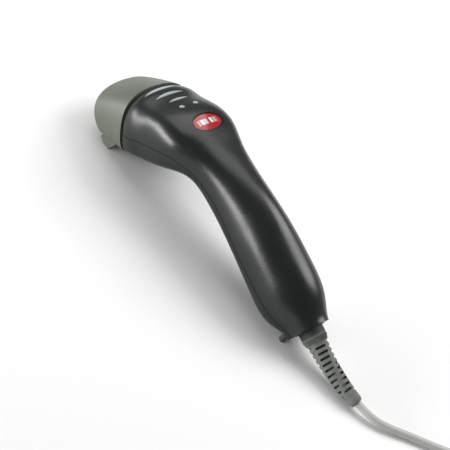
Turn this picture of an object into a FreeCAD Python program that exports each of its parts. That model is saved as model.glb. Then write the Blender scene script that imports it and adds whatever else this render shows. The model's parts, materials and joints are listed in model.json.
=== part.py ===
import FreeCAD, Part
import math
import os
from collections import namedtuple

# Handheld barcode scanner on a cable, lying on a flat surface on two front lugs and two rear feet.
# The shape is described in the head frame: x towards the nose, y left, z up, origin under the rim.
# place_at_rest() then tips it nose-down onto its feet: +X towards the nose, +Z up.

# ---- driving dimensions, mm and degrees ----
REST_PITCH = 33.6            # the head's axis points this far below the horizontal at rest
REST_HEIGHT = 15.77          # head frame origin above the surface at rest
CENTRE_X = 87.34             # head frame origin ahead of the part's origin at rest
WALL = 2.2                   # shell and hood wall
SEAM = 0.36                  # gap between upper and lower shell
RIM_GAP = 1.4                # groove between the hood and the shells
RIM_LEAN = 6.0               # the groove's plane leans back by this angle
BOOT_LENGTH = 53.5
BOOT_SLOTS = 10              # slots in each of the strain relief's four rows
BOOT_SLOT_PITCH = 3.65
BOOT_FIRST_SLOT = 12.6       # distance of the first slot behind the shells' end
BOOT_FIRST_ROW = 35.0        # degrees, the first row's place round the strain relief
CORD_DIAMETER = 4.9
CORD_LENGTH = 1800.0

V = FreeCAD.Vector
Section = namedtuple("Section", "x z pitch half_width crown belly top_fullness belly_fullness")

# Cross-sections of the body from the rim back to the cable end. x, z lie on the parting line.
BODY = (
    Section(0.0, 8.4, RIM_LEAN, 29.0, 25.4, 15.6, 0.70, 0.90),
    Section(-15.0, 7.7, 7, 29.5, 24.2, 16.0, 0.74, 0.89),
    Section(-30.0, 6.3, 10, 29.6, 22.6, 15.5, 0.74, 0.87),
    Section(-42.5, 3.8, 15, 27.6, 19.8, 13.7, 0.73, 0.82),
    Section(-54.0, -4.1, 28, 21.7, 17.6, 9.9, 0.74, 0.75),
    Section(-67.1, -15.7, 40, 18.7, 20.0, 12.0, 0.61, 0.69),
    Section(-92.0, -44.8, 48, 20.2, 26.2, 11.4, 0.56, 0.66),
    Section(-108.4, -64.7, 50, 20.9, 26.1, 14.0, 0.58, 0.66),
    Section(-124.6, -83.4, 50, 17.9, 22.2, 13.8, 0.61, 0.66),
    Section(-133.7, -93.1, 50, 13.6, 17.4, 9.5, 0.58, 0.66),
)
# Cross-sections of the nose hood from the groove to past its front face.
HOOD = (
    Section(RIM_GAP, 8.4, RIM_LEAN, 29.6, 26.8, 15.6, 0.72, 0.88),
    Section(15.0, 9.8, 3, 29.4, 24.8, 13.2, 0.71, 0.85),
    Section(32.0, 12.0, 0, 28.9, 20.4, 9.0, 0.66, 0.85),
)
HANDLE = (-99.0, -53.2, 49.0)            # x, z, pitch of the handle frame, on the parting line
ENGINE = (0.0, 2.0, 0.0)                 # frame of the scan engine in the head
WINDOW = (21.6, 17.4, -5.0)              # frame of the window's plane
TAIL = (-136.7, -90.6, 50.0)             # centre of the cable end's flat face
TRIGGER_PIVOT = (59.4, -6.0)             # x, z in the handle frame
TRIGGER_ENDS = (61.6, 31.9)
BOARD_TOP = -3.7                         # handle frame height of the main board's upper side
BOARD_THICKNESS = 1.6
CASE_SCREWS_REAR = ((-18.0, 11.0), (-18.0, -11.0))      # handle frame x, y
CASE_SCREWS_FRONT = ((-13.0, 24.0), (-13.0, -24.0))     # head frame x, y
BOARD_SCREWS = ((27.0, 11.0), (27.0, -11.0))            # handle frame x, y
REAR_FEET = ((-122.0, 9.5), (-122.0, -9.5))             # head frame x, y
LUG_CONTACT = (22.7, 18.5)               # head frame x of the front lugs' flat underside

# The indicator arcs: how far the front and rear edges rise from the chord towards the nose.
Arc = namedtuple("Arc", "x_ends y_middle half_chord rise_front rise_behind")
ARCS = (
    Arc(-8.2, 3.0, 13.3, 2.4, -0.7),
    Arc(-15.4, 2.0, 11.5, 1.8, -0.3),
    Arc(-22.4, 0.9, 7.8, 1.5, -0.5),
)
DOTS = ((-31.0, 5.8), (-31.0, -5.8))
BADGE = (-47.4, 11.2, 6.2)               # x, half width across, half length along
BADGE_GAP = 0.7                          # between the badge and its recess's wall
BADGE_SUNK = 0.4                         # the badge's face below the crown's skin
BADGE_FLOOR = 1.4                        # the recess's floor below the crown's skin

# Route of the free cord on the surface, in the part's frame: the strain relief's end first.
CORD_ROUTE = (
    (-128.8, -2.6, 5.1),
    (-139.0, -4.5, 4.1),
    (-149.5, -10.9, 3.1),
    (-160.2, -21.0, 2.6),
    (-174.0, -32.4, 2.5),
    (-190.4, -47.0, 2.5),
    (-201.5, -57.0, 2.5),
)
# The cord's other end comes off the top of the coil and down round it to the plug beside it.
TAIL_ROUTE = (
    (-199.0, -54.5, 12.5),
    (-209.7, -66.4, 12.0),
    (-226.9, -73.4, 9.5),
    (-245.8, -69.7, 6.2),
    (-258.8, -57.3, 4.3),
    (-266.2, -42.5, 4.0),
    (-269.0, -32.0, 4.0),
)
PLUG_HEIGHT = 4.0                        # the plug's axis above the surface
COIL_CENTRE = (-224.0, -32.0)
COIL_TURN_RADIUS = 28.5
COIL_HALF_WIDTH = 7.6
COIL_HEIGHT = 15.0
COIL_CORNER = 2.4
TIE_WIDTH = 8.0
TIE_THICKNESS = 0.9
TIE_ANGLE = 100.0


# ---- helpers ----
def block(x0, x1, y0, y1, z0, z1):
    """Box between two corners."""
    return Part.makeBox(x1 - x0, y1 - y0, z1 - z0, V(x0, y0, z0))


def cylinder(radius, start, direction, length):
    return Part.makeCylinder(radius, length, V(*start), V(*direction))


def upright_edges(shape):
    """Edges that run along z."""
    return [edge for edge in shape.Edges if abs(edge.tangentAt(edge.FirstParameter).z) > 0.99]


def rounded_block(x0, x1, y0, y1, z0, z1, radius):
    """Box with its edges along z rounded."""
    box = block(x0, x1, y0, y1, z0, z1)
    return box.makeFillet(radius, upright_edges(box))


def rounded_plate(x0, x1, half_width, z0, z1, radius):
    """Plate across x with its corners rounded, seen along x."""
    box = block(x0, x1, -half_width, half_width, z0, z1)
    along_x = [edge for edge in box.Edges if abs(edge.tangentAt(edge.FirstParameter).x) > 0.99]
    return box.makeFillet(radius, along_x)


def profile(points, half_width):
    """Outline in the x-z plane, made solid to both sides of y = 0."""
    corners = [V(x, -half_width, z) for x, z in points]
    face = Part.Face(Part.makePolygon(corners + corners[:1]))
    return face.extrude(V(0, 2 * half_width, 0))


def placed_by(shape, placement):
    """Copy of a shape moved by a placement."""
    moved = shape.copy()
    moved.Placement = placement.multiply(shape.Placement)
    return moved


def in_frame(shape, frame):
    """Move a shape made in a local x-y-z frame to (x, z, pitch) of the head frame."""
    x, z, pitch = frame
    frame_place = FreeCAD.Placement(V(x, 0, z), FreeCAD.Rotation(V(0, 1, 0), -pitch))
    return placed_by(shape, frame_place)


def in_handle(shape):
    return in_frame(shape, HANDLE)


def place_at_rest(shape):
    """Tip the head frame nose-down and lift it onto the surface."""
    rest = FreeCAD.Placement(V(CENTRE_X, 0, REST_HEIGHT), FreeCAD.Rotation(V(0, 1, 0), REST_PITCH))
    return placed_by(shape, rest)


def surface_below(x):
    """Height of the surface that the scanner lies on, below a place along the head frame's x."""
    pitch = math.radians(REST_PITCH)
    return (x * math.sin(pitch) - REST_HEIGHT) / math.cos(pitch)


def unite(shapes):
    """One fused solid from shapes that overlap."""
    united = shapes[0]
    for shape in shapes[1:]:
        united = united.fuse(shape)
    return united


def carve(shape, tools):
    """The shape with each tool cut away in turn."""
    for tool in tools:
        shape = shape.cut(tool)
    return shape


def mirror_pair(shape):
    """The shape and its mirror image across y = 0."""
    return [shape, shape.mirror(V(0, 0, 0), V(0, 1, 0))]


def save(name, shape, at_rest=False):
    """Write one named piece, or several alike, as STEP."""
    placed = shape if at_rest else place_at_rest(shape)
    if not placed.isValid():
        raise ValueError(name + " is not a valid shape")
    placed.exportStep("parts/" + name + ".step")
    box = placed.optimalBoundingBox()
    print("%-20s solids %2d  volume %8.1f  x %7.2f %7.2f  y %7.2f %7.2f  z %6.2f %6.2f" % (
        name, len(placed.Solids), placed.Volume, box.XMin, box.XMax, box.YMin, box.YMax, box.ZMin, box.ZMax))
    return placed


def tangent_path(points):
    """Straight runs joined by arcs that touch both runs, as large as the runs allow."""
    edges = []
    radii = []
    begin = points[0]
    for before, corner, after in zip(points, points[1:], points[2:]):
        towards = (corner - before).normalize()
        onwards = (after - corner).normalize()
        turn = towards.getAngle(onwards)
        reach = 0.45 * min((corner - before).Length, (after - corner).Length)
        radius = reach / math.tan(turn / 2)
        radii.append(radius)
        enter = corner - towards * reach
        leave = corner + onwards * reach
        inward = (onwards - towards).normalize()
        middle = corner + inward * (radius / math.cos(turn / 2) - radius)
        edges.append(Part.LineSegment(begin, enter).toShape())
        edges.append(Part.Arc(enter, middle, leave).toShape())
        begin = leave
    edges.append(Part.LineSegment(begin, points[-1]).toShape())
    return Part.Wire(edges), radii


def side_points(path, shift):
    """Points beside a bent path in the x-z plane, mitred at its corners."""
    points = [V(x, 0, z) for x, z in path]
    normals = []
    for a, b in zip(points, points[1:]):
        along = (b - a).normalize()
        normals.append(V(-along.z, 0, along.x))
    shifted = []
    for point, before, after in zip(points, normals[:1] + normals, normals + normals[-1:]):
        mitre = (before + after).normalize()
        shifted.append(point + mitre * (shift / mitre.dot(before)))
    return shifted


def strip(path, thickness, half_width):
    """Flat strip along a path in the x-z plane, bent smoothly at the corners."""
    near = tangent_path(side_points(path, thickness / 2))[0]
    far = tangent_path(side_points(path, -thickness / 2))[0]
    starts = near.Edges[0].Vertexes[0].Point, far.Edges[0].Vertexes[0].Point
    ends = near.Edges[-1].Vertexes[-1].Point, far.Edges[-1].Vertexes[-1].Point
    closing = [Part.LineSegment(*pair).toShape() for pair in (starts, ends)]
    outline = Part.Wire(Part.sortEdges(near.Edges + far.Edges + closing)[0])
    outline.translate(V(0, -half_width, 0))
    return Part.Face(outline).extrude(V(0, 2 * half_width, 0))


# ---- skins: lofts through the cross-sections ----
def arch(section, inset, up):
    """Smooth half outline of a section, from its left side over the middle to its right side."""
    width = section.half_width - inset
    height = section.crown - inset if up else inset - section.belly
    fullness = section.top_fullness if up else section.belly_fullness
    pitch = math.radians(section.pitch)
    outline = [
        (width, 0), (width, fullness * height), (fullness * width, height), (0, height),
        (-fullness * width, height), (-width, fullness * height), (-width, 0)]
    poles = []
    for y, lift in outline:
        poles.append(V(section.x - lift * math.sin(pitch), y, section.z + lift * math.cos(pitch)))
    curve = Part.BSplineCurve()
    curve.buildFromPolesMultsKnots(poles, [4, 3, 4], [0, 1, 2], False, 3)
    return curve.toShape()


def whole_wire(section, inset):
    """Closed outline of a whole section, inset from the outer skin."""
    return Part.Wire([arch(section, inset, True), arch(section, inset, False)])


def skin(sections, inset):
    """Solid inside the outer surface, inset by a distance (negative stands out)."""
    return Part.makeLoft([whole_wire(section, inset) for section in sections], True)


def parting_region(up):
    """Space above or below the parting line, half a seam away from it."""
    shift = SEAM / 2 if up else -SEAM / 2
    line = [V(6.0, -60, BODY[0].z + shift)]
    for section in BODY + (Section(-139.0, -99.4, 50, 0, 0, 0, 0, 0),):
        pitch = math.radians(section.pitch)
        line.append(V(section.x - shift * math.sin(pitch), -60, section.z + shift * math.cos(pitch)))
    curve = Part.BSplineCurve()
    curve.interpolate(line)
    corners = [line[-1], V(-190, -60, -140)]
    corners += [V(-190, -60, 80), V(6, -60, 80)] if up else [V(6, -60, -140)]
    corners.append(line[0])
    edges = [curve.toShape()]
    edges += [Part.LineSegment(a, b).toShape() for a, b in zip(corners, corners[1:])]
    return Part.Face(Part.Wire(edges)).extrude(V(0, 120, 0))


def half_body(up):
    """One half of the body's solid outer shape."""
    return skin(BODY, 0).common(parting_region(up))


def rim_prism(inset, x0, x1):
    """Straight prism of the rim's outline between two places along x."""
    lean = math.radians(RIM_LEAN)
    normal = V(math.cos(lean), 0, math.sin(lean))
    wire = whole_wire(BODY[0], inset)
    wire.translate(normal * x0)
    return Part.Face(wire).extrude(normal * (x1 - x0))


def cavity():
    """Inside of the two shells, closed by a wall at the cable end."""
    wall_block = in_frame(block(-5, WALL + 0.4, -40, 40, -40, 40), TAIL)
    return skin(BODY, WALL).cut(wall_block)


# ---- indicators and badge on the crown ----
def crescent(x_ends, y_middle, half_chord, rise_front, rise_behind, margin):
    """Upright prism of an arc that is thick in the middle and pointed at its ends."""
    reach = half_chord + margin * 3
    left = V(x_ends, y_middle + reach, 0)
    right = V(x_ends, y_middle - reach, 0)
    front = V(x_ends + rise_front + margin, y_middle, 0)
    back = V(x_ends + rise_behind - margin, y_middle, 0)
    edges = [Part.Arc(left, front, right).toShape(), Part.Arc(right, back, left).toShape()]
    return Part.Face(Part.Wire(edges)).extrude(V(0, 0, 45))


def arc_prisms(margin):
    return [crescent(*arc, margin) for arc in ARCS]


def dot_prisms(radius):
    return [cylinder(radius, (x, y, 0), (0, 0, 1), 45) for x, y in DOTS]


def badge_prism(margin):
    """Oval prism square to the crown behind the dots."""
    x, across, along = BADGE
    oval = Part.Ellipse(V(0, 0, 0), across + margin, along + margin).toShape()
    oval.rotate(V(0, 0, 0), V(0, 0, 1), 90)
    prism = Part.Face(Part.Wire([oval])).extrude(V(0, 0, 30))
    return in_frame(prism, (x + 4.0, 12.0, 25.0))


# ---- shells ----
def upper_shell(outer, hollow):
    """Crown of the head and back of the handle, with the screw bosses inside."""
    shell = outer.cut(hollow)
    bosses = []
    pilots = []
    for x, y in CASE_SCREWS_REAR:
        boss = cylinder(3.0, (x, y, BOARD_TOP + 0.1), (0, 0, 1), 24)
        pilots.append(in_handle(cylinder(1.1, (x, y, BOARD_TOP - 1), (0, 0, 1), 10)))
        bosses.append(in_handle(boss))
    for x, y in CASE_SCREWS_FRONT:
        bosses.append(cylinder(3.0, (x, y, 8.6), (0, 0, 1), 24))
        pilots.append(cylinder(1.1, (x, y, 7.0), (0, 0, 1), 9))
    whole = skin(BODY, 0.6)
    bosses = [boss.common(whole) for boss in bosses]
    shell = unite([shell] + bosses)
    recess = badge_prism(BADGE_GAP).cut(skin(BODY, BADGE_FLOOR))
    cuts = pilots + arc_prisms(0.15) + dot_prisms(1.85) + [recess, tail_bore()]
    return carve(shell, cuts)


def tail_bore():
    """Hole through the cable end's wall for the cable boot's neck."""
    return in_frame(cylinder(6.3, (-6, 0, 0), (1, 0, 0), 12), TAIL)


def trigger_window():
    front, rear = TRIGGER_ENDS
    return in_handle(rounded_block(rear - 0.9, front + 1.0, -9.6, 9.6, -30, -7.2, 2.4))


def lower_shell(outer, hollow):
    """Belly of the head, front of the grip and the trigger's bearings."""
    shell = outer.cut(hollow)
    posts = []
    holes = []
    for x, y in CASE_SCREWS_REAR:
        posts.append(in_handle(cylinder(3.4, (x, y, -24), (0, 0, 1), 24 + BOARD_TOP - BOARD_THICKNESS)))
        holes.append(in_handle(cylinder(1.5, (x, y, -24), (0, 0, 1), 30)))
        holes.append(in_handle(cylinder(3.0, (x, y, -24), (0, 0, 1), 24 - 9.4)))
    for x, y in BOARD_SCREWS:
        posts.append(in_handle(cylinder(3.0, (x, y, -24), (0, 0, 1), 24 + BOARD_TOP - BOARD_THICKNESS)))
        holes.append(in_handle(cylinder(0.9, (x, y, -9.0), (0, 0, 1), 12)))
    for x, y in CASE_SCREWS_FRONT:
        posts.append(cylinder(3.4, (x, y, -12), (0, 0, 1), 20.5))
        holes.append(cylinder(1.5, (x, y, -12), (0, 0, 1), 30))
        holes.append(cylinder(3.0, (x, y, -12), (0, 0, 1), 12))
    pivot_x, pivot_z = TRIGGER_PIVOT
    ear = block(pivot_x - 3, pivot_x + 3, 10.2, 12.6, -20, pivot_z + 3)
    ear = ear.cut(cylinder(1.25, (pivot_x, 8, pivot_z), (0, 1, 0), 8))
    posts += [in_handle(side) for side in mirror_pair(ear)]
    whole = skin(BODY, 0.6)
    posts = [post.common(whole) for post in posts]
    shell = unite([shell] + posts)
    return carve(shell, holes + [trigger_window(), tail_bore()])


# ---- nose ----
def front_limit(set_back):
    """Space behind the hood's curved front face, moved back by a distance."""
    top = V(27.0 - set_back, -40, 40)
    middle = V(29.6 - set_back, -40, 20)
    bottom = V(21.4 - set_back, -40, 0)
    foot = V(12.0 - set_back, -40, -12)
    edges = [
        Part.Arc(top, middle, bottom).toShape(),
        Part.LineSegment(bottom, foot).toShape(),
        Part.LineSegment(foot, V(-20, -40, -12)).toShape(),
        Part.LineSegment(V(-20, -40, -12), V(-20, -40, 40)).toShape(),
        Part.LineSegment(V(-20, -40, 40), top).toShape()]
    return Part.Face(Part.Wire(edges)).extrude(V(0, 80, 0))


def nose_hood():
    """Hood round the window, with its front rolled over, a spigot behind and two lugs below."""
    body = skin(HOOD, 0).common(front_limit(0))
    rolled = [edge for edge in body.Edges if edge.BoundBox.XMin > 12 and edge.BoundBox.YLength > 8]
    body = body.makeFillet(2.6, rolled)
    behind_window = in_frame(block(-40, 0, -40, 40, -40, 40), WINDOW)
    hollow = skin(HOOD, WALL).common(behind_window)
    opening = in_frame(rounded_plate(-1, 12, 19.6, -8.9, 7.2, 6.5), WINDOW)
    collar = rim_prism(2.4, -3.6, RIM_GAP + 1.5).fuse(rim_prism(0.6, RIM_GAP, RIM_GAP + 1.5))
    collar = collar.cut(rim_prism(3.9, -4, RIM_GAP + 2))
    toe, heel = LUG_CONTACT
    outline = ((25.0, 1.0), (toe, surface_below(toe)), (heel, surface_below(heel)), (11.3, -2.6), (8.0, 2.0))
    lug = profile(outline, 2.9)
    lug.translate(V(0, 23.0, 0))
    body = body.cut([hollow, opening])
    lugs = [side.cut(skin(HOOD, 0.8)) for side in mirror_pair(lug)]
    return unite([body, collar] + lugs)


def nose_gasket():
    """Soft ring in the groove between hood and shells."""
    return rim_prism(1.1, 0, RIM_GAP - 0.05).cut(rim_prism(2.3, -1, RIM_GAP + 1))


def scan_window():
    return in_frame(rounded_plate(-2.7, -0.7, 21.4, -10.6, 8.8, 8.0), WINDOW)


def window_seal():
    """Thin foam frame between the window and the hood."""
    outer = rounded_plate(-0.7, 0, 21.4, -10.6, 8.8, 8.0)
    inner = rounded_plate(-1, 1, 19.8, -9.1, 7.4, 6.5)
    return in_frame(outer.cut(inner), WINDOW)


# ---- scan engine in the head ----
def optics_chassis():
    """Tray that carries the lens, the boards and the light bar."""
    floor = block(-31, 3.6, -19.0, 19.0, -3.6, -1.6)
    side = block(-31, 3.6, 17.0, 19.0, -1.6, 12.0)
    lens_wall = block(-10, -7.5, -17.0, 17.0, -1.6, 12.0)
    lens_hole = cylinder(6.05, (-12, 0, 5.2), (1, 0, 0), 8)
    light_stop = block(-1, 0.6, -17, 17, -1.6, 0.6)
    return in_frame(unite([floor, lens_wall, light_stop] + mirror_pair(side)).cut(lens_hole), ENGINE)


def lens_barrel():
    barrel = cylinder(6.0, (-16, 0, 5.2), (1, 0, 0), 14)
    return in_frame(barrel.cut(cylinder(4.6, (-17, 0, 5.2), (1, 0, 0), 16)), ENGINE)


def lens_glass():
    """Two lens elements held in the barrel."""
    lenses = []
    for x in (-4.6, -12.4):
        disc = cylinder(4.6, (x, 0, 5.2), (1, 0, 0), 2.2)
        ball = Part.makeSphere(9.0, V(x + 2.2 - 9.0, 0, 5.2))
        lenses.append(in_frame(disc.common(ball), ENGINE))
    return Part.makeCompound(lenses)


def sensor_board():
    return in_frame(block(-33.4, -31.8, -17.5, 17.5, -1.2, 13.0), ENGINE)


def line_sensor():
    """Long image sensor on the front of its board."""
    return in_frame(block(-31.8, -28.9, -14.0, 14.0, 2.2, 8.2), ENGINE)


def led_board():
    return in_frame(block(7.0, 8.6, -16.8, 16.8, 12.4, 20.4), ENGINE)


def led_carrier():
    """Two brackets that hold the light board above the tray."""
    arm = block(0.6, 7.0, 17.0, 19.0, 12.0, 20.4)
    tab = block(5.4, 7.0, 12.0, 19.0, 15.0, 20.4)
    return in_frame(Part.makeCompound(mirror_pair(arm.fuse(tab))), ENGINE)


def illumination_leds():
    leds = []
    for index in range(6):
        y = (index - 2.5) * 5.6
        base = block(8.6, 10.4, y - 1.6, y + 1.6, 14.6, 18.2)
        dome = cylinder(1.3, (10.4, y, 16.4), (1, 0, 0), 1.2)
        leds.append(in_frame(base.fuse(dome), ENGINE))
    return Part.makeCompound(leds)


def light_bar():
    """Clear bar that spreads the light into a line."""
    bar = cylinder(2.4, (14.6, -17.6, 16.4), (0, 1, 0), 35.2)
    return in_frame(bar.cut(block(10, 12.8, -20, 20, 10, 24)), ENGINE)


# ---- indicators ----
def surface_inlay(prisms, proud, depth):
    """Pieces let into the crown: their tops follow the skin and stand a little proud of it."""
    cover = skin(BODY, -proud)
    inside = skin(BODY, depth)
    return [prism.common(cover).cut(inside) for prism in prisms]


def arc_light_pipes():
    return Part.makeCompound(surface_inlay(arc_prisms(0), 0.25, WALL))


def dot_lenses():
    """Two domed lenses behind the arcs."""
    domes = []
    for x, y in DOTS:
        top = crown_height(x, y)
        stem = cylinder(1.75, (x, y, top - WALL - 0.2), (0, 0, 1), WALL + 0.3)
        ball = Part.makeSphere(2.6, V(x, y, top - 1.9))
        cap = ball.common(cylinder(1.75, (x, y, top - 0.5), (0, 0, 1), 3))
        domes.append(stem.fuse(cap))
    return Part.makeCompound(domes)


def crown_height(x, y):
    """Height of the outer skin above a point of the head."""
    ray = Part.LineSegment(V(x, y, 10), V(x, y, 50)).toShape()
    return skin(BODY, 0).common(ray).BoundBox.ZMax


def indicator_board():
    return block(-32.4, -5.0, -8.6, 8.6, 23.4, 24.6)


def indicator_leds():
    """Small surface-mounted lights under the arcs and the dots."""
    places = [(arc.x_ends + (arc.rise_front + arc.rise_behind) / 2, arc.y_middle) for arc in ARCS]
    places += DOTS
    return Part.makeCompound([block(x - 1.2, x + 1.2, y - 0.8, y + 0.8, 24.6, 25.6) for x, y in places])


def badge():
    """Oval domed plate in the recess behind the dots."""
    prism = badge_prism(0)
    return prism.common(skin(BODY, BADGE_SUNK)).cut(skin(BODY, BADGE_FLOOR))


# ---- electronics in the handle ----
def main_board():
    bottom = BOARD_TOP - BOARD_THICKNESS
    board = rounded_block(-41.5, 31.0, -13.6, 13.6, bottom, BOARD_TOP, 1.5)
    holes = [cylinder(1.6, (x, y, -8), (0, 0, 1), 8) for x, y in CASE_SCREWS_REAR]
    holes += [cylinder(1.2, (x, y, -8), (0, 0, 1), 8) for x, y in BOARD_SCREWS]
    return in_handle(board.cut(holes))


def chip(x, y, length, width, height):
    return in_handle(block(x, x + length, y - width / 2, y + width / 2, BOARD_TOP, BOARD_TOP + height))


def decoder_chip():
    return chip(8.0, 0.0, 12.0, 12.0, 1.4)


def memory_chip():
    return chip(-8.0, -4.5, 8.0, 6.0, 1.1)


def interface_chip():
    return chip(-21.0, 0.0, 8.0, 6.5, 1.2)


def capacitors():
    """Small can capacitors in a row beside the memory."""
    cans = [cylinder(2.0, (x, 10.6, BOARD_TOP), (0, 0, 1), 5.2) for x in (2.0, 7.0, 12.0)]
    return in_handle(Part.makeCompound(cans))


def crystal():
    return in_handle(rounded_block(22.4, 26.0, -5.4, 5.4, BOARD_TOP, BOARD_TOP + 3.4, 1.7))


def buzzer():
    """Round sounder with its hole on top."""
    body = cylinder(5.2, (-4.0, 6.0, BOARD_TOP), (0, 0, 1), 6.4)
    return in_handle(body.cut(cylinder(0.9, (-4.0, 6.0, BOARD_TOP + 4), (0, 0, 1), 4)))


def flex_cable():
    """Flat cable from the sensor board through the neck to the main board."""
    path = ((-36.4, 11.0), (-42.0, 9.4), (-54.0, 0.6), (-69.8, -11.0), (-78.0, -20.6), (-77.2, -28.6))
    return strip(path, 0.3, 6.0)


def flex_sockets():
    """Connector at each end of the flat cable."""
    head_end = block(-36.4, -33.4, -8, 8, 9.4, 12.6)
    board_end = in_handle(block(27.8, 30.8, -8.0, 8.0, BOARD_TOP, BOARD_TOP + 2.4))
    return Part.makeCompound([head_end, board_end])


# ---- trigger ----
def trigger():
    """Finger lever hinged at its front end, hollow behind, with a rib that works the switch."""
    front, rear = TRIGGER_ENDS
    pivot_x, pivot_z = TRIGGER_PIVOT
    outline = (
        (front, -8.6), (front, -11.6), (54.0, -13.6), (47.0, -13.8), (41.0, -13.9), (37.0, -14.8),
        (33.8, -15.2), (rear + 0.4, -14.6), (rear, -13.4), (rear, -8.6))
    lever = profile(outline, 8.4)
    pocket = block(rear + 2.0, front - 4.4, -6.4, 6.4, -11.4, -8.0)
    ear = block(pivot_x - 3.0, front, 6.4, 8.4, -9.0, pivot_z)
    knuckle = cylinder(2.7, (pivot_x, 6.4, pivot_z), (0, 1, 0), 2.0)
    rib = block(42.8, 45.2, -1.5, 1.5, -12.0, -4.1)
    lever = unite([lever.cut(pocket), rib] + mirror_pair(ear) + mirror_pair(knuckle))
    return in_handle(lever.cut(cylinder(1.3, (pivot_x, -12, pivot_z), (0, 1, 0), 24)))


def trigger_pin():
    pivot_x, pivot_z = TRIGGER_PIVOT
    return in_handle(cylinder(1.25, (pivot_x, -12.0, pivot_z), (0, 1, 0), 24.0))


def trigger_spring():
    """Bent leaf spring from the switch board's underside down to the lever."""
    path = ((49.4, 1.05), (54.0, 1.05), (55.0, -1.5), (54.4, -5.0), (49.2, -10.9))
    return in_handle(strip(path, 0.3, 2.5))


def switch_board():
    board = rounded_block(36.0, 53.0, -10.0, 10.0, 1.2, 2.8, 1.2)
    return in_handle(board)


def trigger_switch():
    """Square switch under its board, open towards the lever."""
    body = block(40.8, 47.2, -3.2, 3.2, -2.3, 1.2)
    return in_handle(body.cut(cylinder(1.55, (44.0, 0, -3), (0, 0, 1), 3.9)))


def switch_plunger():
    return in_handle(cylinder(1.5, (44.0, 0, -3.8), (0, 0, 1), 3.1))


# ---- fasteners ----
def screw(x, y, head_z, length, thread, head, head_height):
    """Pan-head screw pointing up, with a slot for the driver."""
    shank = cylinder(thread, (x, y, head_z + head_height), (0, 0, 1), length)
    cap = cylinder(head, (x, y, head_z), (0, 0, 1), head_height)
    cross = [block(x - 1.2, x + 1.2, y - 0.25, y + 0.25, head_z - 1, head_z + 0.9),
             block(x - 0.25, x + 0.25, y - 1.2, y + 1.2, head_z - 1, head_z + 0.9)]
    return carve(shank.fuse(cap), cross)


def case_screws():
    rear = [in_handle(screw(x, y, -11.4, 12.0, 1.1, 2.6, 2.0)) for x, y in CASE_SCREWS_REAR]
    front = [screw(x, y, -2.0, 13.0, 1.1, 2.6, 2.0) for x, y in CASE_SCREWS_FRONT]
    return Part.makeCompound(rear + front)


def board_screws():
    """Screws that hold the main board, heads up."""
    parts = []
    for x, y in BOARD_SCREWS:
        shank = cylinder(0.9, (x, y, BOARD_TOP), (0, 0, -1), 5.0)
        head = cylinder(1.9, (x, y, BOARD_TOP), (0, 0, 1), 1.4)
        parts.append(in_handle(shank.fuse(head)))
    return Part.makeCompound(parts)


def rear_feet():
    """Two soft feet under the end of the grip, flat on the surface."""
    feet = []
    body = skin(BODY, 0)
    for x, y in REAR_FEET:
        pad = cylinder(2.2, (0, y, 0), (0, 0, 1), 9)
        pad = pad.makeFillet(0.8, [edge for edge in pad.Edges if edge.BoundBox.ZMax < 0.01])
        feet.append(in_frame(pad, (x, surface_below(x), REST_PITCH)).cut(body))
    return Part.makeCompound(feet)


# ---- cable end ----
def cable_socket():
    """Modular socket at the end of the main board, open to the rear."""
    body = block(-41.5, -25.0, -7.6, 7.6, BOARD_TOP, BOARD_TOP + 14.0)
    mouth = block(-42, -28.0, -6.1, 6.1, BOARD_TOP + 3.2, BOARD_TOP + 12.4)
    return in_handle(body.cut(mouth))


def modular_plug():
    """Clear plug inside the socket, with its latch on top."""
    body = block(-47.8, -29.0, -5.8, 5.8, BOARD_TOP + 3.6, BOARD_TOP + 11.6)
    latch = block(-46.0, -30.0, -3.0, 3.0, BOARD_TOP + 11.6, BOARD_TOP + 12.2)
    return in_handle(body.fuse(latch))


def boot_path():
    """Where the boot's centre line starts and which way it heads, in the part's frame."""
    start = place_at_rest(Part.Vertex(V(TAIL[0], 0, TAIL[1]))).Point
    slope = math.radians(TAIL[2] - REST_PITCH)
    heading_out = V(-math.cos(slope), 0, -math.sin(slope))
    return start, heading_out


def boot_station(distance):
    """Centre and direction of the boot at a distance behind the shells' end."""
    start, straight = boot_path()
    lead = 16.0
    if distance <= lead:
        return start + straight * distance, straight
    end_slope = math.radians(3.0)
    end_turn = math.radians(8.0)
    final = V(-math.cos(end_slope) * math.cos(end_turn), -math.cos(end_slope) * math.sin(end_turn),
              -math.sin(end_slope))
    bend = straight.getAngle(final)
    radius = (BOOT_LENGTH - lead) / bend
    side = (final - straight * math.cos(bend)) * (1 / math.sin(bend))
    turned = (distance - lead) / radius
    centre = start + straight * (lead + radius * math.sin(turned)) + side * (radius * (1 - math.cos(turned)))
    direction = straight * math.cos(turned) + side * math.sin(turned)
    return centre, direction


def boot_tube(stretches):
    """Loft of circles along the boot: (distance, radius) pairs."""
    wires = []
    for distance, radius in stretches:
        centre, direction = boot_station(distance)
        wires.append(Part.Wire([Part.Circle(centre, direction, radius).toShape()]))
    return Part.makeLoft(wires, True, True)


def boot_local(shape, distance, roll):
    """Move a shape made along +x at the origin to a place on the boot, rolled about its axis."""
    centre, direction = boot_station(distance)
    turn = FreeCAD.Rotation(V(1, 0, 0), direction)
    return placed_by(shape, FreeCAD.Placement(centre, turn.multiply(FreeCAD.Rotation(V(1, 0, 0), roll))))


def boot_radius(distance):
    """The strain relief flares at its collar and tapers evenly to its ferrule."""
    flare = 1.3 * math.exp(-((distance - 5) / 4.0) ** 2)
    return 6.7 - 0.045 * (distance - 5) + flare


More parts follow.
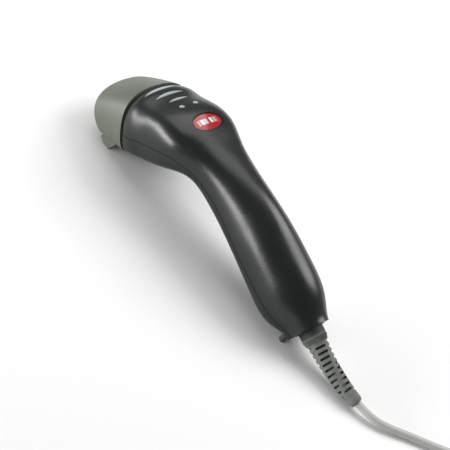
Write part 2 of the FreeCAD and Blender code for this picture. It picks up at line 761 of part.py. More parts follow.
def cable_boot():
    """Collar, slotted strain relief and ferrule moulded in one piece round the cable."""
    taper = [(distance, boot_radius(distance)) for distance in range(5, 48, 3)]
    relief = boot_tube(taper)
    ferrule = boot_tube([(47, 4.6), (51, 4.5), (52.3, 4.2), (53.1, 3.7), (BOOT_LENGTH, 3.0)])
    collar = boot_local(cylinder(8.1, (0, 0, 0), (1, 0, 0), 4.8), 0.4, 0)
    neck = boot_local(cylinder(6.2, (0, 0, 0), (1, 0, 0), 5.0), -4.4, 0)
    slots = []
    for row in range(4):
        for index in range(BOOT_SLOTS):
            offset = BOOT_SLOT_PITCH / 2 if row % 2 else 0
            distance = BOOT_FIRST_SLOT + index * BOOT_SLOT_PITCH - offset
            outer = boot_radius(distance) + 1
            half = boot_radius(distance) * 0.55
            slot = rounded_block(-0.75, 0.75, -half, half, 2.7, outer, 0.7)
            slots.append(boot_local(slot, distance, BOOT_FIRST_ROW + row * 90))
    bore = boot_tube([(distance, CORD_DIAMETER / 2) for distance in range(-6, 58, 4)])
    return unite([relief, ferrule, collar, neck]).cut(slots + [bore])


def end_ring():
    """Trim ring on the shells' end face round the boot."""
    ring = cylinder(9.6, (-0.4, 0, 0), (1, 0, 0), 0.4)
    return in_frame(ring.cut(cylinder(6.3, (-2, 0, 0), (1, 0, 0), 4)), TAIL)


def inner_lead():
    """The cable inside the boot, from the plug to the boot's outer end."""
    steps = 24
    first = -4.8
    last = BOOT_LENGTH - 0.4
    stretches = [first + (last - first) * index / steps for index in range(steps + 1)]
    return boot_tube([(distance, CORD_DIAMETER / 2 - 0.05) for distance in stretches])


# ---- free cord ----
def tube(points, radius):
    """Round tube along the path, checked against its section times its length."""
    path, radii = tangent_path([V(*point) for point in points])
    first = path.Edges[0]
    start = first.valueAt(first.FirstParameter)
    circle = Part.Wire([Part.Circle(start, first.tangentAt(first.FirstParameter), radius).toShape()])
    solid = path.makePipeShell([circle], True, True)
    expected = math.pi * radius ** 2 * path.Length
    print("cord length %.1f, radii %s, volume ratio %.4f" % (
        path.Length, [round(value, 1) for value in radii], solid.Volume / expected))
    return solid, path.Length


def cord_lead(coil):
    """Cord lying on the surface from the boot to the coil."""
    solid, length = tube(CORD_ROUTE, CORD_DIAMETER / 2)
    return solid.cut(coil), length


def cord_tail(coil):
    """Cord from the coil to the plug."""
    solid, length = tube(TAIL_ROUTE, CORD_DIAMETER / 2)
    return solid.cut(coil), length


def cord_coil():
    """Outer shape of the coiled length: a ring with rounded corners."""
    inner = COIL_TURN_RADIUS - COIL_HALF_WIDTH
    ring = cylinder(COIL_TURN_RADIUS + COIL_HALF_WIDTH, (*COIL_CENTRE, 0), (0, 0, 1), COIL_HEIGHT)
    ring = ring.cut(cylinder(inner, (*COIL_CENTRE, 0), (0, 0, 1), COIL_HEIGHT))
    rims = [edge for edge in ring.Edges if isinstance(edge.Curve, Part.Circle)]
    return ring.makeFillet(COIL_CORNER, rims)


def coil_tie(coil):
    """Strap round the coil's bundle, on the side away from the scanner."""
    wide = COIL_HALF_WIDTH + TIE_THICKNESS
    strap = block(COIL_TURN_RADIUS - wide, COIL_TURN_RADIUS + wide, -TIE_WIDTH / 2, TIE_WIDTH / 2,
                  0, COIL_HEIGHT + TIE_THICKNESS)
    corners = [edge for edge in strap.Edges if abs(edge.tangentAt(edge.FirstParameter).y) > 0.99]
    strap = strap.makeFillet(COIL_CORNER, corners)
    strap.rotate(V(0, 0, 0), V(0, 0, 1), TIE_ANGLE)
    strap.translate(V(*COIL_CENTRE, 0))
    return strap.cut(coil)


# ---- host plug ----
def at_plug(shape):
    """Move a shape made along +x from the plug's cable end to the end of the cord's tail."""
    end = V(*TAIL_ROUTE[-1])
    direction = end - V(*TAIL_ROUTE[-2])
    heading = math.degrees(math.atan2(direction.y, direction.x))
    return placed_by(shape, FreeCAD.Placement(end, FreeCAD.Rotation(V(0, 0, 1), heading)))


def plug_grip():
    """Moulded grip with a short tapered sleeve on the cable."""
    low = -PLUG_HEIGHT
    grip = block(9.0, 31.0, -7.8, 7.8, low, low + 8.0)
    grip = grip.makeFillet(2.0, [edge for edge in grip.Edges if edge.Length > 21.0])
    sleeve = Part.makeCone(3.4, 4.0, 9.4, V(0, 0, 0.1), V(1, 0, 0))
    mouth = block(29.0, 32, -6.06, 6.06, -2.31, 2.31)
    return at_plug(unite([grip, sleeve]).cut(mouth))


def plug_shell():
    """Folded metal shell of the plug with its two square windows."""
    shell = block(29.0, 43.0, -6.0, 6.0, -2.25, 2.25)
    inside = block(30.0, 44.0, -5.7, 5.7, -1.95, 1.95)
    windows = [block(36.0, 38.5, y - 1.25, y + 1.25, -3, 3) for y in (-2.6, 2.6)]
    return at_plug(shell.cut([inside] + windows))


def plug_tongue():
    """Plastic tongue inside the shell."""
    return at_plug(block(30.1, 42.4, -5.5, 5.5, 0.0, 1.85))


def plug_contacts():
    """Four contact strips on the tongue."""
    strips = [block(31.0, 41.4, y - 0.5, y + 0.5, -0.25, 0.0) for y in (-3.5, -1.2, 1.2, 3.5)]
    return at_plug(Part.makeCompound(strips))


# ---- build ----
os.makedirs("parts", exist_ok=True)
hollow = cavity()
save("upper_shell", upper_shell(half_body(True), hollow))
save("lower_shell", lower_shell(half_body(False), hollow))
save("nose_hood", nose_hood())
save("nose_gasket", nose_gasket())
save("scan_window", scan_window())
save("window_seal", window_seal())
save("end_ring", end_ring())
save("arc_light_pipes", arc_light_pipes())
save("dot_lenses", dot_lenses())
save("badge", badge())
save("indicator_board", indicator_board())
save("indicator_leds", indicator_leds())
save("optics_chassis", optics_chassis())
save("lens_barrel", lens_barrel())
save("lens_glass", lens_glass())
save("sensor_board", sensor_board())
save("line_sensor", line_sensor())
save("led_board", led_board())
save("led_carrier", led_carrier())
save("illumination_leds", illumination_leds())
save("light_bar", light_bar())
save("main_board", main_board())
save("decoder_chip", decoder_chip())
save("memory_chip", memory_chip())
save("interface_chip", interface_chip())
save("capacitors", capacitors())
save("crystal", crystal())
save("buzzer", buzzer())
save("flex_cable", flex_cable())
save("flex_sockets", flex_sockets())
save("trigger", trigger())
save("trigger_pin", trigger_pin())
save("trigger_spring", trigger_spring())
save("switch_board", switch_board())
save("trigger_switch", trigger_switch())
save("switch_plunger", switch_plunger())
save("case_screws", case_screws())
save("board_screws", board_screws())
save("rear_feet", rear_feet())
save("cable_socket", cable_socket())
save("modular_plug", modular_plug())
save("cable_boot", cable_boot(), at_rest=True)
save("inner_lead", inner_lead(), at_rest=True)
print("boot end", boot_station(BOOT_LENGTH))

coil = cord_coil()
lead, lead_length = cord_lead(coil)
tail, tail_length = cord_tail(coil)
save("cord_lead", lead, at_rest=True)
save("cord_coil", coil, at_rest=True)
save("cord_tail", tail, at_rest=True)
save("coil_tie", coil_tie(coil), at_rest=True)
save("plug_grip", plug_grip(), at_rest=True)
save("plug_shell", plug_shell(), at_rest=True)
save("plug_tongue", plug_tongue(), at_rest=True)
save("plug_contacts", plug_contacts(), at_rest=True)
turns = (CORD_LENGTH - lead_length - tail_length) / (2 * math.pi * COIL_TURN_RADIUS)
print("turns in the coil %.2f" % turns)
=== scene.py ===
import json
import math

import bmesh
import bpy
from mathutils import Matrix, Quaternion, Vector


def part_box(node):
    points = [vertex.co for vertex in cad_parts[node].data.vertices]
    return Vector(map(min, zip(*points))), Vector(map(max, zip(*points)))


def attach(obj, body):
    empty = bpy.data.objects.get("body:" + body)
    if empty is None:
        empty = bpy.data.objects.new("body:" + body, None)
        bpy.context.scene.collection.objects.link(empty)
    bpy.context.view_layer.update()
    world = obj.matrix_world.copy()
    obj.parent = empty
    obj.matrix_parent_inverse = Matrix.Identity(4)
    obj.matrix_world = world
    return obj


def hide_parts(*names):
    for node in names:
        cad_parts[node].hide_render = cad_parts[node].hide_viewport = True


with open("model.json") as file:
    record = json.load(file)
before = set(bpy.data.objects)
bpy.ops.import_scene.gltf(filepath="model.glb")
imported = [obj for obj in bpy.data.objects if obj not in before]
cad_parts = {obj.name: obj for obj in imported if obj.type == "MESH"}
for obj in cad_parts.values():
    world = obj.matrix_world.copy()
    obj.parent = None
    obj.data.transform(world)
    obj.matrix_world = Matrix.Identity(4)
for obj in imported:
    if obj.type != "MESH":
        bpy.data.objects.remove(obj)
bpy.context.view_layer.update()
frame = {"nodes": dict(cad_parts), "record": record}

# Looks of a handheld barcode scanner: +X towards the nose, +Z up, metres.
# Each CAD node gets a procedural finish by its material slot. Two pieces are added here: the
# continuous cord, in place of the CAD's three lengths, and the knurled band on the strain relief.
NODES = frame["nodes"]
MM = 0.001
HEAD_TIP = 33.6              # degrees, the head's axis points this far below the horizontal
BOOT_SLOPE = 16.4            # degrees, the strain relief starts this far below the horizontal

# ---- camera: above and behind the grip, rolled so that the head stands upright ----
VIEW_AZIMUTH = 206.45        # degrees
VIEW_ELEVATION = 43.46
VIEW_ROLL = 32.62
VIEW_DISTANCE = 0.8953
VIEW_TARGET = Vector((0.0081, 0.0052, 0.0200))
LENS = 114.3                 # mm, on a sensor of the width below
SENSOR = 36.0                # mm
NEAR_CLIP = 0.01
FAR_CLIP = 20

# ---- the free cord, as in the CAD source: its diameter and length in metres, the rest in mm ----
CORD_DIAMETER = 4.9 * MM
LEAD_ROUTE = (
    (-128.8, -2.6, 5.1),
    (-139.0, -4.5, 4.1),
    (-149.5, -10.9, 3.1),
    (-160.2, -21.0, 2.6),
    (-174.0, -32.4, 2.5),
    (-190.4, -47.0, 2.5),
    (-201.5, -57.0, 2.5),
)
TAIL_ROUTE = (
    (-199.0, -54.5, 12.5),
    (-209.7, -66.4, 12.0),
    (-226.9, -73.4, 9.5),
    (-245.8, -69.7, 6.2),
    (-258.8, -57.3, 4.3),
    (-266.2, -42.5, 4.0),
    (-269.0, -32.0, 4.0),
)
COIL_CENTRE = (-224.0, -32.0)
COIL_TURN_RADIUS = 28.5
COIL_CELL = 5.05             # a turn lies this far beside or above the next
COIL_LOWEST = 2.5            # height of the lowest turns' centre line
COIL_START = 312.0           # degrees, where the lead joins the coil, which then runs clockwise
COIL_TURNED = 8.983          # turns from there to where the tail leaves
TURN_POINTS = 24
SHIFT_POINTS = 5             # points over which one turn moves to the next one's place
# The order in which the turns fill the bundle: (column outwards, layer upwards).
COIL_CELLS = ((1, 0), (0, 0), (-1, 0), (-1, 1), (-1, 2), (0, 2), (0, 1), (1, 1), (1, 2))

# ---- strain relief and the knurl on its collar, mm, as in the CAD source ----
BOOT_START = Vector((-76.66, 0.0, 15.96))
BOOT_AXIS = Vector((-0.9593, 0.0, -0.2823))
BOOT_ACROSS = Vector((0.0, 1.0, 0.0))
BOOT_UP = BOOT_AXIS.cross(BOOT_ACROSS)
BOOT_RADIUS = 6.7            # at the collar's middle, without the collar's swell
BOOT_TAPER = 0.045           # radius lost per mm
COLLAR_MIDDLE = 5.0          # distances behind the shells' end, here and below
COLLAR_SWELL = 1.3
COLLAR_SPREAD = 4.0          # the swell dies away over this length
KNURL_FIRST = 5.3
KNURL_LAST = 9.9
KNURL_ROWS = 5               # diamonds along the band
KNURL_ROUND = 44             # diamonds round it
KNURL_SAMPLES = 6            # mesh steps to a diamond
KNURL_HEIGHT = 0.42
KNURL_FLANK = 2.2            # how steeply a diamond's sides rise, 1 for a plain pyramid
KNURL_GROOVE = 0.1           # the grooves' floor above the band's sunk edges
KNURL_SUNK = 0.15            # the band's edges below the strain relief's skin
KNURL_FADE = 6               # the relief fades out over the last sixth of the band at each edge

# ---- stage ----
FLOOR_HALF = 3.0
WORLD_STRENGTH = 0.22
LIGHT_AIM = Vector((0.0, 0.0, 0.03))
# Softboxes: (name, place, width, height, power).
LIGHTS = (
    ("left_box", (0.62, 0.95, 0.16), 1.2, 0.30, 17.0),
    ("right_box", (-0.20, -0.80, 0.85), 0.7, 0.7, 9.5),
    ("top_box", (0.70, -0.30, 1.10), 1.2, 1.2, 9.0),
)

# ---- patterns in the finishes ----
WAVES_PER_METRE = 0.314      # wave texture scale at which one band is one metre
RIB_PITCH = 0.0009           # of the ribs across the light pipes
FLEX_STRIPS = 320            # wave texture scale of the flat cable's copper strips
TIE_WEAVE = 520              # and of the strap's weave, both ways
BAR_WIDTH = 0.0005           # narrowest of the bars printed on the badge
BARS_HALF_WIDTH = 0.0078
BARS_HALF_HEIGHT = 0.0017
# How far behind the shells' end the strain relief's dark band turns grey, from here to here: the
# band is partly the dark collar's own colour and partly painted shade where the shell meets the
# strain relief.
COLLAR_DARK_AND_SHADE_SPAN = (0.0042, 0.0050)


# ---- small helpers ----
def in_metres(points):
    return [Vector(point) * MM for point in points]


def add_object(name, data):
    piece = bpy.data.objects.new(name, data)
    bpy.context.scene.collection.objects.link(piece)
    return piece


def piece_from_bmesh(name, mesh_data, smooth=True):
    """Object made from the mesh data, which is used up."""
    mesh = bpy.data.meshes.new(name)
    bmesh.ops.recalc_face_normals(mesh_data, faces=mesh_data.faces)
    mesh_data.to_mesh(mesh)
    mesh_data.free()
    for face in mesh.polygons:
        face.use_smooth = smooth
    return add_object(name, mesh)


def make_camera():
    """Camera at the photograph's angle, looking from behind and above the scanner's left side."""
    azimuth = math.radians(VIEW_AZIMUTH)
    elevation = math.radians(VIEW_ELEVATION)
    back = Vector((
        math.sin(azimuth) * math.cos(elevation),
        -math.cos(azimuth) * math.cos(elevation),
        math.sin(elevation)))
    data = bpy.data.cameras.new("camera")
    data.lens = LENS
    data.sensor_width = SENSOR
    data.clip_start = NEAR_CLIP
    data.clip_end = FAR_CLIP
    camera = add_object("camera", data)
    camera.location = VIEW_TARGET + back * VIEW_DISTANCE
    camera.rotation_mode = "QUATERNION"
    roll = Quaternion((0, 0, 1), math.radians(VIEW_ROLL))
    camera.rotation_quaternion = back.to_track_quat("Z", "Y") @ roll
    bpy.context.scene.camera = camera


# ---- cord ----
def coil_points():
    """Turns of the coiled length in three layers, each easing into the next one's place."""
    points = []
    steps = round(COIL_TURNED * TURN_POINTS)
    for step in range(1, steps):
        turn, within = divmod(step, TURN_POINTS)
        column, layer = COIL_CELLS[turn]
        if within >= TURN_POINTS - SHIFT_POINTS and turn + 1 < len(COIL_CELLS):
            share = (within - (TURN_POINTS - SHIFT_POINTS)) / SHIFT_POINTS
            share = share * share * (3 - 2 * share)
            next_column, next_layer = COIL_CELLS[turn + 1]
            column += (next_column - column) * share
            layer += (next_layer - layer) * share
        angle = math.radians(COIL_START - 360 * step / TURN_POINTS)
        radius = COIL_TURN_RADIUS + column * COIL_CELL
        points.append((
            COIL_CENTRE[0] + radius * math.cos(angle),
            COIL_CENTRE[1] + radius * math.sin(angle),
            COIL_LOWEST + layer * COIL_CELL))
    return points


def make_cord(finish):
    """One smooth line from the strain relief along the surface, round the coil and to the plug."""
    route = in_metres(list(LEAD_ROUTE) + coil_points() + list(TAIL_ROUTE))
    data = bpy.data.curves.new("cord", "CURVE")
    data.dimensions = "3D"
    data.bevel_depth = CORD_DIAMETER / 2
    data.bevel_resolution = 6
    data.resolution_u = 8
    data.use_fill_caps = True
    spline = data.splines.new("NURBS")
    spline.points.add(len(route) - 1)
    for point, place in zip(spline.points, route):
        point.co = (*place, 1)
    spline.order_u = 3
    spline.use_endpoint_u = True
    cord = add_object("cord", data)
    cord.data.materials.append(finish)
    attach(cord, "housing")
    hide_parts("cord_lead", "cord_coil", "cord_tail")


# ---- collar knurl ----
def boot_radius(distance):
    """Radius of the strain relief this far behind the shells' end, mm, as in the CAD source."""
    past = distance - COLLAR_MIDDLE
    return BOOT_RADIUS - BOOT_TAPER * past + COLLAR_SWELL * math.exp(-(past / COLLAR_SPREAD) ** 2)


def make_knurl(finish):
    """Band of raised diamonds round the strain relief, just behind its collar."""
    mesh_data = bmesh.new()
    rings = []
    for row in range(KNURL_ROWS * KNURL_SAMPLES + 1):
        along = row / KNURL_SAMPLES
        share = row / (KNURL_ROWS * KNURL_SAMPLES)
        distance = KNURL_FIRST + (KNURL_LAST - KNURL_FIRST) * share
        fade = min(1.0, KNURL_FADE * share, KNURL_FADE * (1 - share))
        ring = []
        for step in range(KNURL_ROUND * KNURL_SAMPLES):
            turn = step / KNURL_SAMPLES
            grooves = [abs((turn + side * along) % 1.0 - 0.5) * 2 for side in (-1, 1)]
            raised = min(1.0, KNURL_FLANK * (1 - max(grooves)))
            radius = boot_radius(distance) - KNURL_SUNK
            radius += fade * (KNURL_GROOVE + KNURL_HEIGHT * raised)
            angle = math.tau * turn / KNURL_ROUND
            place = BOOT_START + BOOT_AXIS * distance
            place += (BOOT_ACROSS * math.cos(angle) + BOOT_UP * math.sin(angle)) * radius
            ring.append(mesh_data.verts.new(place * MM))
        rings.append(ring)
    for ring, following in zip(rings, rings[1:]):
        for index in range(len(ring)):
            after = (index + 1) % len(ring)
            mesh_data.faces.new((ring[index], ring[after], following[after], following[index]))
    knurl = piece_from_bmesh("collar_knurl", mesh_data, smooth=False)
    knurl.data.materials.append(finish)
    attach(knurl, "housing")


# ---- finishes ----
class Finish:
    """A procedural surface in the part's own coordinates, around one Principled shader."""

    def __init__(self, name, colour, roughness, metallic=0.0, specular=0.5):
        self.material = bpy.data.materials.new(name)
        self.material.use_nodes = True
        self.tree = self.material.node_tree
        self.shader = self.tree.nodes["Principled BSDF"]
        self.set("Base Color", (*colour, 1))
        self.set("Roughness", roughness)
        self.set("Metallic", metallic)
        self.set("Specular IOR Level", specular)
        self.place = self.add("ShaderNodeTexCoord").outputs["Object"]
        self.relief = None

    def add(self, kind, **settings):
        node = self.tree.nodes.new(kind)
        for key, value in settings.items():
            setattr(node, key, value)
        return node

    def join(self, source, socket):
        self.tree.links.new(source, socket)

    def set(self, socket, value):
        self.shader.inputs[socket].default_value = value

    def maths(self, operation, first, second=0.0):
        node = self.add("ShaderNodeMath", operation=operation)
        for socket, value in zip(node.inputs, (first, second)):
            if isinstance(value, (int, float)):
                socket.default_value = value
            else:
                self.join(value, socket)
        return node.outputs[0]

    def mapped(self, scale=(1, 1, 1), turn=(0, 0, 0)):
        node = self.add("ShaderNodeMapping")
        node.inputs["Scale"].default_value = scale
        node.inputs["Rotation"].default_value = [math.radians(angle) for angle in turn]
        self.join(self.place, node.inputs["Vector"])
        return node.outputs[0]

    def read(self, node, output, vector=None):
        """Output of a texture node that is looked up by the part's coordinates or the vector."""
        self.join(vector or self.place, node.inputs["Vector"])
        return node.outputs[output]

    def noise(self, scale, detail=2.0, rough=0.5, vector=None):
        node = self.add("ShaderNodeTexNoise")
        node.inputs["Scale"].default_value = scale
        node.inputs["Detail"].default_value = detail
        node.inputs["Roughness"].default_value = rough
        return self.read(node, "Fac", vector)

    def wave(self, scale, direction):
        node = self.add("ShaderNodeTexWave", bands_direction=direction)
        node.inputs["Scale"].default_value = scale
        return self.read(node, "Fac")

    def cells(self, scale, feature="F1"):
        node = self.add("ShaderNodeTexVoronoi", feature=feature)
        node.inputs["Scale"].default_value = scale
        return self.read(node, "Distance")

    def split(self, turn):
        """Separate x, y and z of the part's coordinates, turned about y by this many degrees."""
        node = self.add("ShaderNodeSeparateXYZ")
        self.join(self.mapped(turn=(0, turn, 0)), node.inputs[0])
        return node.outputs

    def between(self, value, low, high, to_low=0.0, to_high=1.0):
        """Smooth step of a value from one range to another."""
        node = self.add("ShaderNodeMapRange", interpolation_type="SMOOTHSTEP")
        limits = {"From Min": low, "From Max": high, "To Min": to_low, "To Max": to_high}
        for name, number in limits.items():
            node.inputs[name].default_value = number
        self.join(value, node.inputs["Value"])
        return node.outputs[0]

    def mix(self, share, first, second):
        node = self.add("ShaderNodeMix", data_type="RGBA")
        self.join(share, node.inputs["Factor"])
        for socket, value in ((node.inputs[6], first), (node.inputs[7], second)):
            if isinstance(value, tuple):
                socket.default_value = (*value, 1)
            else:
                self.join(value, socket)
        return node.outputs[2]

    def colour(self, source):
        self.join(source, self.shader.inputs["Base Color"])

    def roughness(self, source):
        self.join(source, self.shader.inputs["Roughness"])

    def bump(self, height, strength, depth):
        """Relief of a height from 0 to 1, depth in metres, on top of any relief before it."""
        node = self.add("ShaderNodeBump")
        node.inputs["Strength"].default_value = strength
        node.inputs["Distance"].default_value = depth
        self.join(height, node.inputs["Height"])
        if self.relief:
            self.join(self.relief, node.inputs["Normal"])
        self.relief = node.outputs[0]
        self.join(self.relief, self.shader.inputs["Normal"])


def shade(colour, factor):
    return tuple(min(1.0, channel * factor) for channel in colour)


def moulded(name, colour, roughness, grain=0.35, grain_scale=2600.0, spread=0.12):
    """Moulded plastic: fine grain, faint flow marks, handling wear and a few hair scratches."""
    finish = Finish(name, colour, roughness)
    flow = finish.between(finish.noise(38, 3.0, 0.6), 0.3, 0.7)
    toned = finish.mix(flow, shade(colour, 1 - spread), shade(colour, 1 + spread))
    fine = finish.noise(grain_scale, 1.0, 0.5)
    speck = finish.mix(finish.between(fine, 0.62, 0.78, 0.0, 0.35), toned, shade(colour, 1.7))
    streaks = finish.noise(90, 2.0, 0.4, finish.mapped(scale=(0.35, 9.0, 3.0), turn=(8, 34, 21)))
    scratched = finish.between(streaks, 0.735, 0.76, 0.0, 0.3)
    finish.colour(finish.mix(scratched, speck, shade(colour, 1.6)))
    handled = finish.between(finish.noise(24, 2.0, 0.5), 0.35, 0.7, -0.05, 0.05)
    sparkle = finish.between(fine, 0.3, 0.7, -0.04, 0.04)
    varied = finish.maths("ADD", finish.maths("ADD", handled, sparkle), roughness)
    finish.roughness(varied)
    finish.bump(finish.noise(grain_scale, 2.0, 0.6), grain, 0.00006)
    return finish


def soft(name, colour, roughness=0.75):
    """Rubber or soft vinyl with a dull, slightly dusty skin."""
    finish = Finish(name, colour, roughness, specular=0.35)
    finish.set("Sheen Weight", 0.12)
    finish.set("Sheen Roughness", 0.6)
    dust = finish.between(finish.noise(160, 4.0, 0.65), 0.5, 0.8, 0.0, 0.35)
    finish.colour(finish.mix(dust, colour, shade(colour, 1.45)))
    polish = finish.noise(70, 3.0)
    finish.roughness(finish.between(polish, 0.3, 0.7, roughness - 0.08, roughness + 0.08))
    finish.bump(finish.noise(1400, 3.0, 0.6), 0.3, 0.00006)
    return finish


def metal(name, colour, roughness, brush=(1.0, 1.0, 40.0)):
    """Plated or drawn metal with a brushed direction and faint tarnish."""
    finish = Finish(name, colour, roughness, metallic=1.0)
    lines = finish.noise(900, 2.0, 0.5, finish.mapped(scale=brush))
    tarnish = finish.between(finish.noise(300, 3.0), 0.5, 0.75, 0.0, 0.2)
    finish.colour(finish.mix(tarnish, colour, shade(colour, 0.55)))
    finish.roughness(finish.between(lines, 0.3, 0.7, roughness - 0.1, roughness + 0.12))
    finish.bump(lines, 0.15, 0.00002)
    return finish


def clear(name, colour, roughness, passing):
    """Clear or tinted pane: mostly light passing through, with faint haze and finger marks."""
    finish = Finish(name, colour, roughness)
    finish.set("Transmission Weight", passing)
    finish.set("IOR", 1.49)
    smear = finish.between(finish.noise(60, 4.0, 0.6), 0.45, 0.8, roughness, roughness + 0.16)
    finish.roughness(smear)
    finish.colour(finish.mix(finish.noise(45, 2.0), shade(colour, 0.92), colour))
    return finish


def silver_plastic():
    """Silver-grey light pipes with fine ribs across them, with painted shade in the ribs' grooves
    and painted highlight on their crests.
    """
    finish = moulded("silver_plastic", (0.26, 0.30, 0.30), 0.34, grain=0.1, spread=0.04)
    ribs = finish.wave(WAVES_PER_METRE / RIB_PITCH, "Y")
    # Painted shade in the rib grooves and painted highlight on the rib crests, following the rib
    # wave.
    rib_shade_and_highlight = finish.mix(finish.between(ribs, 0.15, 0.6), (0.17, 0.20, 0.20), (0.42, 0.48, 0.485))
    finish.colour(rib_shade_and_highlight)
    finish.bump(ribs, 0.6, 0.00012)
    return finish


def badge_red():
    """Red lacquer under a clear dome, printed with a plain row of white bars."""
    red = (0.36, 0.010, 0.015)
    finish = Finish("badge_red", red, 0.22)
    finish.set("Coat Weight", 0.5)
    finish.set("Coat Roughness", 0.05)
    along, across, _ = finish.split(-HEAD_TIP)
    index = finish.maths("FLOOR", finish.maths("MULTIPLY", across, 1 / BAR_WIDTH))
    draw = finish.add("ShaderNodeTexWhiteNoise", noise_dimensions="1D")
    finish.join(index, draw.inputs["W"])
    bar = finish.maths("GREATER_THAN", draw.outputs["Value"], 0.5)
    in_width = finish.maths("LESS_THAN", finish.maths("ABSOLUTE", across), BARS_HALF_WIDTH)
    off_middle = finish.maths("ABSOLUTE", finish.maths("SUBTRACT", along, badge_middle()))
    in_height = finish.maths("LESS_THAN", off_middle, BARS_HALF_HEIGHT)
    printed = finish.maths("MULTIPLY", bar, finish.maths("MULTIPLY", in_width, in_height))
    depth = finish.between(finish.noise(500, 3.0), 0.35, 0.65)
    lacquer = finish.mix(depth, shade(red, 0.86), shade(red, 1.08))
    finish.colour(finish.mix(printed, lacquer, (0.80, 0.79, 0.76)))
    finish.roughness(finish.between(finish.noise(220, 2.0), 0.3, 0.7, 0.12, 0.2))
    finish.bump(finish.noise(700, 2.0), 0.05, 0.00004)
    return finish


def badge_middle():
    """Where the badge's middle lies along the tipped head's axis."""
    low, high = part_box("badge")
    middle = (low + high) / 2
    tip = math.radians(HEAD_TIP)
    return middle.x * math.cos(tip) - middle.z * math.sin(tip)


def board_green():
    """Printed board: solder mask over copper tracks, with pads and plated holes."""
    green = (0.012, 0.085, 0.035)
    finish = Finish("board_green", green, 0.35)
    finish.set("Coat Weight", 0.3)
    tracks = finish.cells(420, "DISTANCE_TO_EDGE")
    line = finish.between(tracks, 0.03, 0.07, 1.0, 0.0)
    with_tracks = finish.mix(line, green, (0.035, 0.19, 0.075))
    pads = finish.between(finish.cells(520), 0.10, 0.14, 1.0, 0.0)
    finish.colour(finish.mix(pads, with_tracks, (0.62, 0.60, 0.52)))
    finish.roughness(finish.between(finish.noise(400, 2.0), 0.3, 0.7, 0.28, 0.42))
    finish.bump(line, 0.3, 0.00004)
    return finish


def package(name, colour, roughness=0.55):
    """Matt epoxy package with a fine mould texture."""
    finish = Finish(name, colour, roughness, specular=0.4)
    finish.colour(finish.mix(finish.noise(1500, 3.0), shade(colour, 0.7), shade(colour, 1.5)))
    polish = finish.noise(900, 2.0)
    finish.roughness(finish.between(polish, 0.3, 0.7, roughness - 0.08, roughness + 0.1))
    finish.bump(finish.noise(3000, 2.0), 0.3, 0.00004)
    return finish


def foam(name, colour):
    """Closed-cell foam with open pores on its cut face, with painted shade in the pores."""
    finish = Finish(name, colour, 0.9, specular=0.2)
    pores = finish.cells(2200)
    pore_shade_mask = finish.between(pores, 0.1, 0.5)
    # Painted shade: darker in the pores' hollows, lighter on the cell walls.
    finish.colour(finish.mix(pore_shade_mask, shade(colour, 0.4), shade(colour, 1.5)))
    finish.bump(pores, 0.7, 0.0002)
    return finish


def flex_amber():
    """Polyimide film over parallel copper strips."""
    finish = Finish("flex_amber", (0.50, 0.22, 0.03), 0.3)
    strips = finish.wave(FLEX_STRIPS, "Y")
    copper = finish.between(strips, 0.35, 0.65)
    finish.colour(finish.mix(copper, (0.30, 0.12, 0.015), (0.62, 0.31, 0.07)))
    finish.roughness(finish.between(finish.noise(200, 2.0), 0.3, 0.7, 0.24, 0.36))
    finish.bump(strips, 0.3, 0.00005)
    return finish


def tie_black():
    """Hook-and-loop strap: short dense pile over a woven back."""
    finish = Finish("tie_black", (0.02, 0.02, 0.021), 0.9, specular=0.2)
    finish.set("Sheen Weight", 0.5)
    finish.set("Sheen Roughness", 0.4)
    pile = finish.noise(1900, 4.0, 0.8)
    weave = finish.maths("MULTIPLY", finish.wave(TIE_WEAVE, "X"), finish.wave(TIE_WEAVE, "Z"))
    finish.colour(finish.mix(pile, (0.008, 0.008, 0.009), (0.06, 0.06, 0.062)))
    finish.bump(finish.maths("ADD", pile, weave), 0.8, 0.0003)
    return finish


def boot_grey():
    """Soft grey moulding with a dark band next to the shells' end, partly the collar's own colour
    and partly painted shade where the shell meets it.
    """
    grey = (0.135, 0.145, 0.130)
    finish = soft("boot_grey", grey, 0.55)
    dust = finish.between(finish.noise(240, 4.0, 0.6), 0.3, 0.7)
    toned = finish.mix(dust, shade(grey, 0.93), shade(grey, 1.07))
    low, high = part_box("end_ring")
    end = (low + high) / 2
    slope = math.radians(BOOT_SLOPE)
    start = end.x * math.cos(slope) + end.z * math.sin(slope)
    behind = finish.maths("SUBTRACT", start, finish.split(BOOT_SLOPE)[0])
    # Darker next to the shells' end: partly the collar's own colour, partly painted shade between
    # the shell and the strain relief.
    collar_and_shade = finish.between(behind, *COLLAR_DARK_AND_SHADE_SPAN, 1.0, 0.0)
    finish.colour(finish.mix(collar_and_shade, toned, (0.035, 0.037, 0.034)))
    return finish


def cord_grey():
    """Smooth extruded jacket with faint draw lines and handling marks."""
    grey = (0.44, 0.45, 0.425)
    finish = Finish("cord_grey", grey, 0.42, specular=0.45)
    marks = finish.between(finish.noise(110, 4.0, 0.6), 0.52, 0.8, 0.0, 0.4)
    finish.colour(finish.mix(marks, grey, shade(grey, 0.82)))
    finish.roughness(finish.between(finish.noise(80, 3.0), 0.3, 0.7, 0.36, 0.5))
    finish.bump(finish.noise(1300, 2.0), 0.15, 0.00005)
    return finish


def sensor_ceramic():
    """Ceramic package whose glass lid shows the fine sensor line."""
    finish = package("sensor_ceramic", (0.06, 0.06, 0.08), 0.2)
    finish.set("Coat Weight", 0.8)
    return finish


# Finishes with a pattern of their own, by material slot.
PATTERNED = {
    "silver_plastic": silver_plastic,
    "badge_red": badge_red,
    "board_green": board_green,
    "flex_amber": flex_amber,
    "tie_black": tie_black,
    "boot_grey": boot_grey,
    "cord_grey": cord_grey,
    "sensor_ceramic": sensor_ceramic,
}
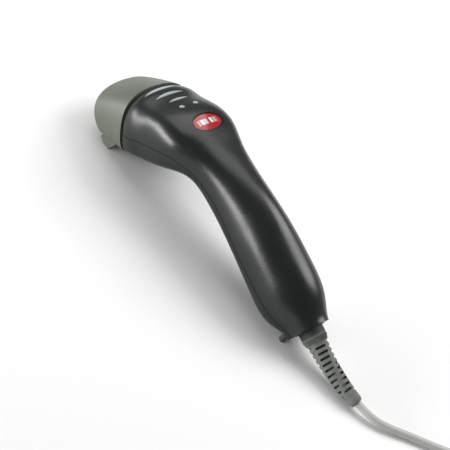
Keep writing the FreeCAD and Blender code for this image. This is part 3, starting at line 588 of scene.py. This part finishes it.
# Finishes of a common kind: what makes each one, its colour, and what else that takes.
PLAIN = {
    "shell_black": (moulded, (0.0072, 0.0090, 0.0082), {"roughness": 0.32, "grain": 0.12}),
    "hood_grey": (moulded, (0.098, 0.107, 0.086),
                  {"roughness": 0.42, "grain": 0.25, "grain_scale": 2200.0, "spread": 0.05}),
    "trigger_grey": (moulded, (0.155, 0.167, 0.136),
                     {"roughness": 0.45, "grain": 0.4, "spread": 0.05}),
    "chassis_black": (moulded, (0.02, 0.02, 0.022), {"roughness": 0.6, "grain": 0.6}),
    "socket_ivory": (moulded, (0.66, 0.62, 0.52), {"roughness": 0.5}),
    "indicator_white": (moulded, (0.78, 0.76, 0.66), {"roughness": 0.3}),
    "plunger_white": (moulded, (0.74, 0.74, 0.71), {"roughness": 0.4}),
    "tongue_white": (moulded, (0.80, 0.80, 0.79), {"roughness": 0.4}),
    "plug_grey": (moulded, (0.42, 0.44, 0.41), {"roughness": 0.5, "grain": 0.5, "spread": 0.04}),
    "soft_black": (soft, (0.012, 0.012, 0.012), {}),
    "foot_rubber": (soft, (0.035, 0.035, 0.035), {"roughness": 0.7}),
    "foam_black": (foam, (0.02, 0.02, 0.02), {}),
    "window_red": (clear, (0.62, 0.02, 0.03), {"roughness": 0.03, "passing": 0.85}),
    "clear_glass": (clear, (0.86, 0.92, 0.95), {"roughness": 0.02, "passing": 0.95}),
    "clear_plastic": (clear, (0.90, 0.92, 0.92), {"roughness": 0.08, "passing": 0.92}),
    "led_red": (clear, (0.75, 0.04, 0.03), {"roughness": 0.1, "passing": 0.5}),
    "chip_black": (package, (0.018, 0.018, 0.02), {}),
    "switch_black": (package, (0.025, 0.025, 0.026), {"roughness": 0.5}),
    "barrel_metal": (metal, (0.05, 0.05, 0.055), {"roughness": 0.4}),
    "capacitor_can": (metal, (0.75, 0.75, 0.77), {"roughness": 0.28}),
    "crystal_can": (metal, (0.68, 0.68, 0.69), {"roughness": 0.25}),
    "steel": (metal, (0.60, 0.60, 0.60), {"roughness": 0.25}),
    "spring_steel": (metal, (0.50, 0.50, 0.51), {"roughness": 0.3, "brush": (40.0, 1.0, 1.0)}),
    "screw_black": (metal, (0.05, 0.05, 0.052), {"roughness": 0.4}),
    "plug_metal": (metal, (0.78, 0.78, 0.79), {"roughness": 0.22, "brush": (1.0, 30.0, 1.0)}),
    "contact_gold": (metal, (0.83, 0.60, 0.24), {"roughness": 0.22}),
}


def finish_nodes():
    """Give each CAD node the finish of its material slot."""
    made = {slot: maker().material for slot, maker in PATTERNED.items()}
    for slot, (maker, colour, options) in PLAIN.items():
        made[slot] = maker(slot, colour, **options).material
    for part in frame["record"]["subparts"]:
        slots = NODES[part["node"]].data.materials
        slots.clear()
        slots.append(made[part["material_slot"]])
    return made


# ---- stage ----
def make_stage():
    """A plain pale floor that carries on out of view."""
    grid = bmesh.new()
    bmesh.ops.create_grid(grid, x_segments=1, y_segments=1, size=FLOOR_HALF)
    floor = piece_from_bmesh("floor", grid)
    pale = Finish("floor_pale", (0.93, 0.93, 0.93), 0.8, specular=0.2)
    floor.data.materials.append(pale.material)


def make_lights():
    """Even light from all round, and three softboxes."""
    world = bpy.data.worlds.new("studio")
    world.use_nodes = True
    background = world.node_tree.nodes["Background"]
    background.inputs["Color"].default_value = (1, 1, 1, 1)
    background.inputs["Strength"].default_value = WORLD_STRENGTH
    bpy.context.scene.world = world
    bpy.context.scene.view_settings.view_transform = "Standard"
    for name, place, width, height, power in LIGHTS:
        data = bpy.data.lights.new(name, "AREA")
        data.energy = power
        data.shape = "RECTANGLE"
        data.size = width
        data.size_y = height
        lamp = add_object(name, data)
        lamp.location = place
        lamp.rotation_mode = "QUATERNION"
        lamp.rotation_quaternion = (Vector(place) - LIGHT_AIM).to_track_quat("Z", "Y")


make_camera()
finishes = finish_nodes()
make_cord(finishes["cord_grey"])
make_knurl(finishes["boot_grey"])
make_stage()
make_lights()
